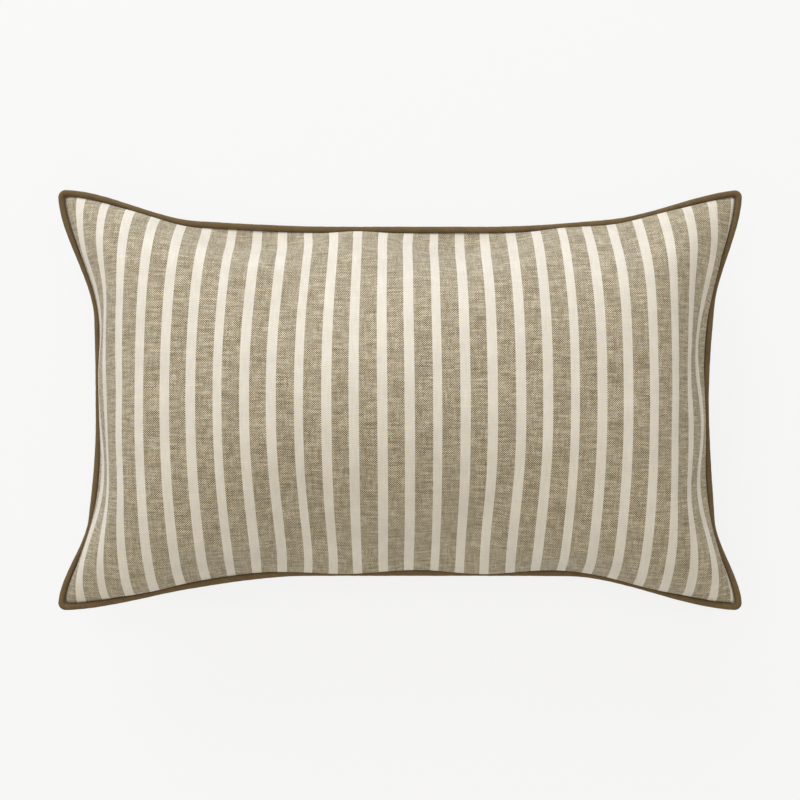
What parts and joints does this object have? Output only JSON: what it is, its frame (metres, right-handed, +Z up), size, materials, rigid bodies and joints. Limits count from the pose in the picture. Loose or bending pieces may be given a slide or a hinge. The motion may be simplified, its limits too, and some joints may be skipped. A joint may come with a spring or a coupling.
{
  "type": "throw pillow",
  "caption": "Rectangular striped throw pillow with bowed-in edges, corded piping in its seam, a hidden zip along one long edge and a loose stuffed insert.",
  "frame": {"origin": "on the resting surface, under the middle of the pillow's bounding box", "axes": "+X along the long edges, towards the end where the zip closes; +Y along the short edges, away from the zip; +Z up, out of the front panel"},
  "size_m": [0.5389, 0.3313, 0.1648],
  "materials": {
    "striped_cloth": "plain-weave cotton and linen, olive and cream stripes",
    "piping_cloth": "bias-cut plain weave, matte",
    "cotton_cord": "twisted cotton, unseen inside the piping",
    "label_tape": "blank satin tape",
    "insert_cotton": "plain close-woven cotton",
    "fibre_fill": "loose polyester fibre",
    "zip_cloth": "herringbone zip tape",
    "zip_nylon": "satin nylon coil",
    "zip_metal": "enamelled zinc alloy, satin"
  },
  "bodies": {
    "pillow": {"front_panel": "striped_cloth", "back_panel": "striped_cloth", "piping_cover": "piping_cloth", "piping_cord": "cotton_cord", "care_label": "label_tape", "insert_casing_front": "insert_cotton", "insert_casing_back": "insert_cotton", "insert_fill": "fibre_fill", "zip_tape_upper": "zip_cloth", "zip_tape_lower": "zip_cloth", "zip_coil_upper": "zip_nylon", "zip_coil_lower": "zip_nylon", "zip_bottom_stop": "zip_metal", "zip_top_stop_upper": "zip_nylon", "zip_top_stop_lower": "zip_nylon"},
    "slider": {"zip_slider": "zip_metal"},
    "pull": {"zip_pull": "zip_metal"}
  },
  "joints": [
    {"name": "zip_slider_travel", "type": "slide", "parent": "pillow", "child": "slider", "axis": [-1, 0, 0], "range_m": [0, 0.265]},
    {"name": "zip_pull_swing", "type": "hinge", "parent": "slider", "child": "pull", "pos_m": [0.14875, -0.1325, 0.0678], "axis": [0, 0, 1], "range_deg": [0, 165]}
  ]
}
